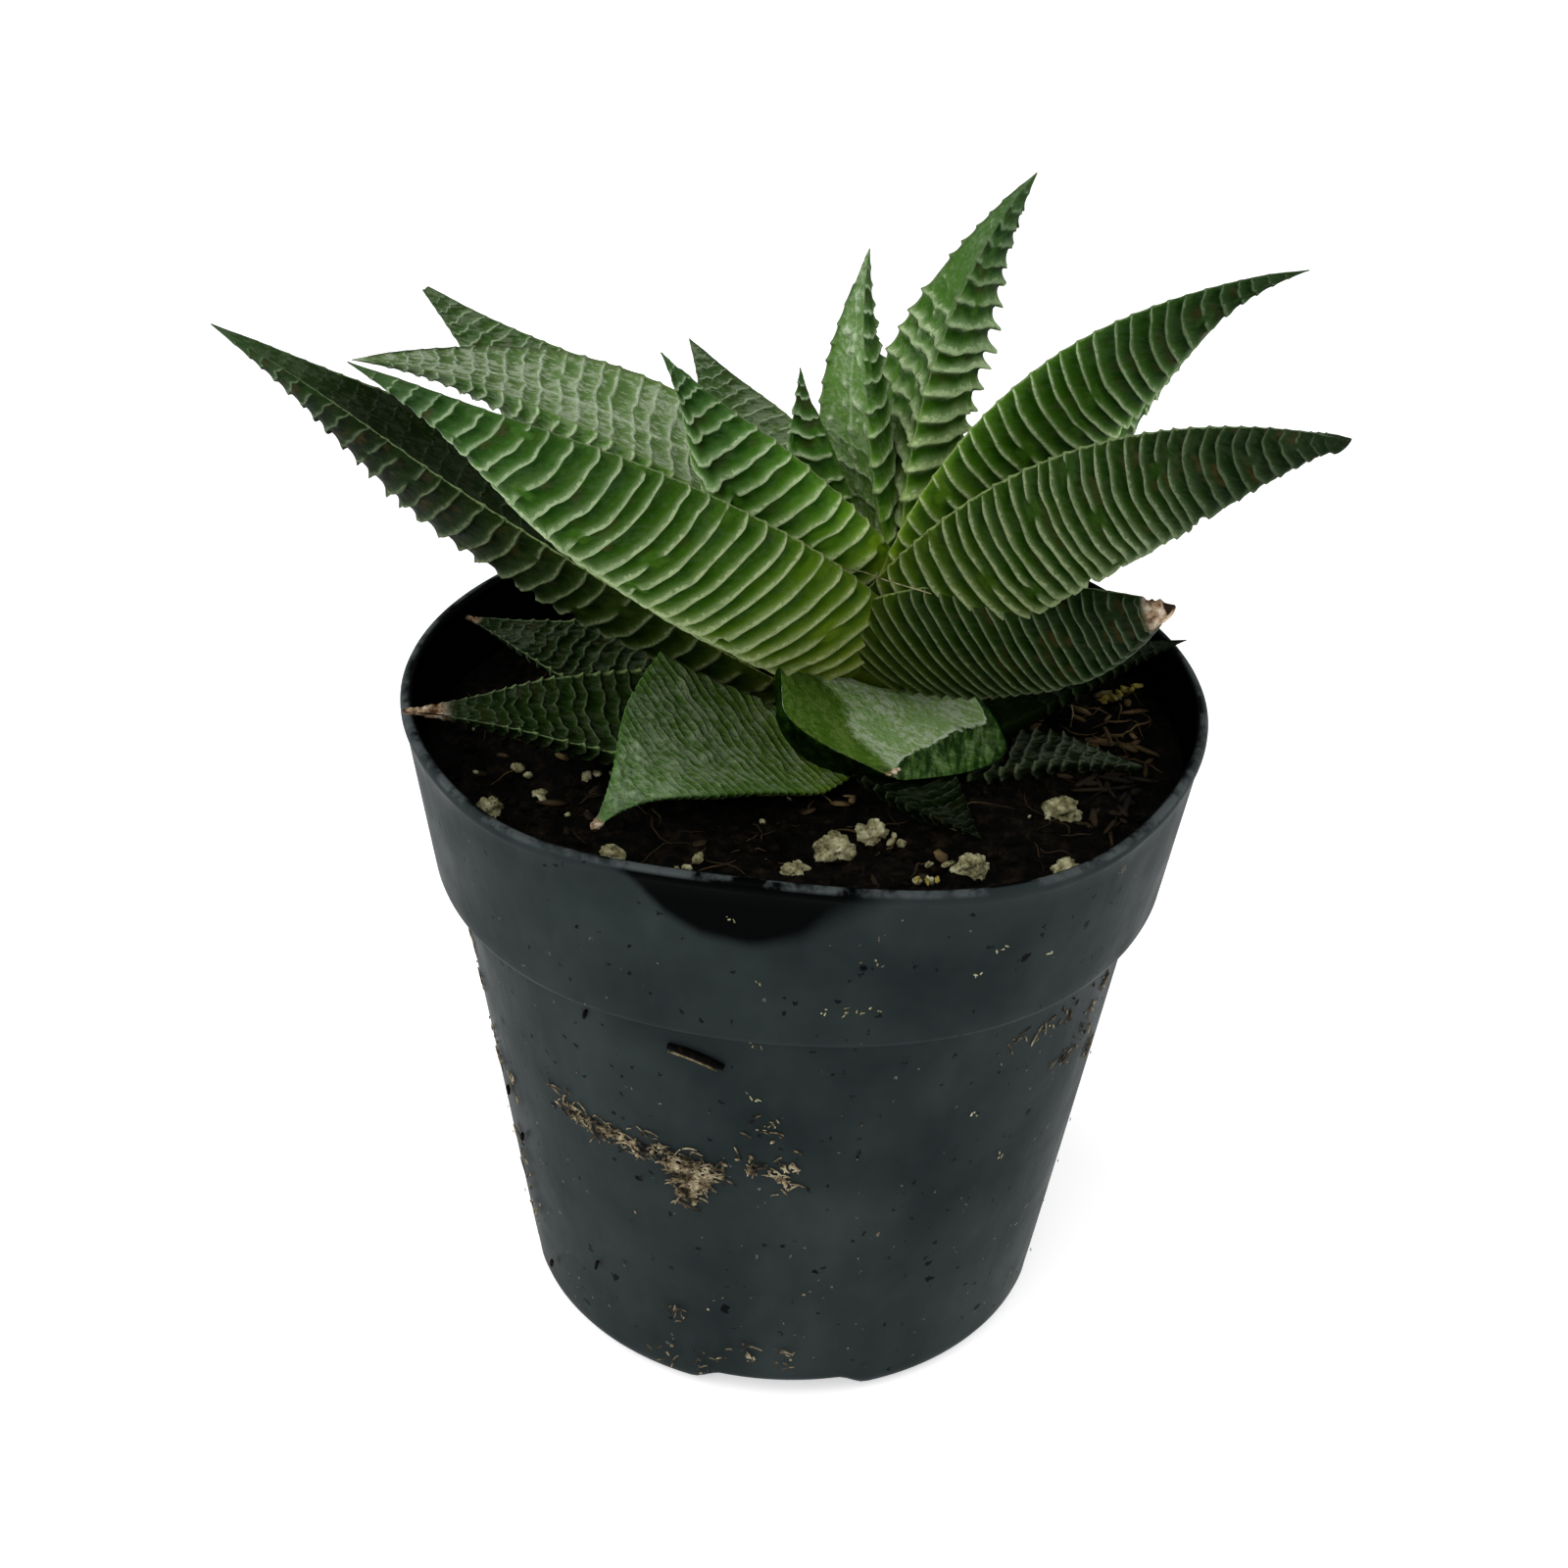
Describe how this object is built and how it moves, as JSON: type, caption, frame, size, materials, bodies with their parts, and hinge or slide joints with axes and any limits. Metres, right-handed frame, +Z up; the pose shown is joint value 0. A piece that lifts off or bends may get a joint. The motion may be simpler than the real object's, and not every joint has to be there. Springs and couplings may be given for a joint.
{
  "type": "potted haworthia plant",
  "caption": "Small succulent in a round black nursery pot: a loose rosette of stiff, keeled, pointed leaves with raised pale cross ridges, growing from dark soil mixed with perlite.",
  "frame": {"origin": "the middle of the pot's flat underside, on the surface that the pot stands on", "axes": "+Z is up along the pot's axis, -Y is the front that the picture shows, +X is to the viewer's right"},
  "size_m": [0.1262, 0.1128, 0.1587],
  "materials": {
    "pot_plastic": "moulded black polypropylene, half gloss, with specks of dried dirt",
    "soil_mix": null,
    "stem_tissue": null,
    "leaf_skin": null,
    "perlite": null
  },
  "bodies": {
    "root": {"pot": "pot_plastic", "soil": "soil_mix", "stem": "stem_tissue", "leaf_01": "leaf_skin", "leaf_02": "leaf_skin", "leaf_03": "leaf_skin", "leaf_04": "leaf_skin", "leaf_05": "leaf_skin", "leaf_06": "leaf_skin", "leaf_07": "leaf_skin", "leaf_08": "leaf_skin", "leaf_09": "leaf_skin", "leaf_10": "leaf_skin", "leaf_11": "leaf_skin", "leaf_12": "leaf_skin", "leaf_13": "leaf_skin", "leaf_14": "leaf_skin", "leaf_15": "leaf_skin", "leaf_16": "leaf_skin", "leaf_17": "leaf_skin", "leaf_18": "leaf_skin", "leaf_19": "leaf_skin", "leaf_20": "leaf_skin", "leaf_21": "leaf_skin", "leaf_22": "leaf_skin", "leaf_23": "leaf_skin", "leaf_24": "leaf_skin", "leaf_25": "leaf_skin", "leaf_26": "leaf_skin", "perlite_1": "perlite", "perlite_2": "perlite", "perlite_3": "perlite", "perlite_4": "perlite", "perlite_5": "perlite", "perlite_6": "perlite", "perlite_7": "perlite", "perlite_8": "perlite", "perlite_9": "perlite"}
  },
  "joints": []
}
